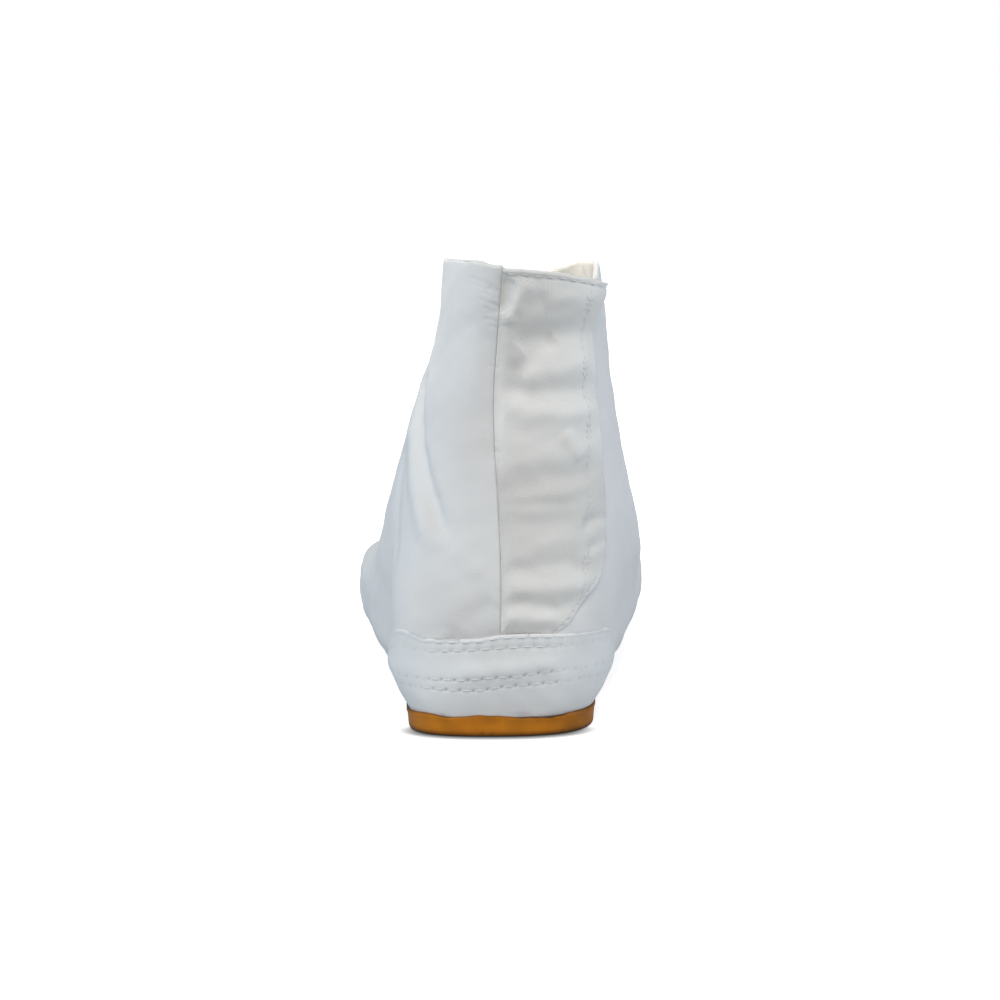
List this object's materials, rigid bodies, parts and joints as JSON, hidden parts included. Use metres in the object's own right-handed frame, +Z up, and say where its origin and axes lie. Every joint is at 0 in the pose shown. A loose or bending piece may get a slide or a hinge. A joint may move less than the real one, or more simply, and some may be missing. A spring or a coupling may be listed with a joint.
{
  "type": "tabi ankle shoe",
  "caption": "Left split-toe tabi: white cotton ankle upper, open at the collar, with a folded back flap and a heel band, on a thin gum-rubber sole.",
  "frame": {"origin": "on the ground, at the middle of the shoe's bounding box", "axes": "+Y from the heel to the toes, +X to the medial side (the big toe's side), +Z up"},
  "size_m": [0.1044, 0.2672, 0.1502],
  "materials": {
    "gum_rubber": "satin gum rubber, darker at the edges",
    "insole_cloth": "plain woven cotton",
    "cotton_twill": "matt white cotton twill",
    "flap_twill": "matt white cotton twill, creased",
    "band_twill": "matt white cotton twill, sewn through"
  },
  "bodies": {
    "root": {"outsole": "gum_rubber", "insole": "insole_cloth", "upper": "cotton_twill", "back_flap": "flap_twill", "heel_band": "band_twill"}
  },
  "joints": []
}
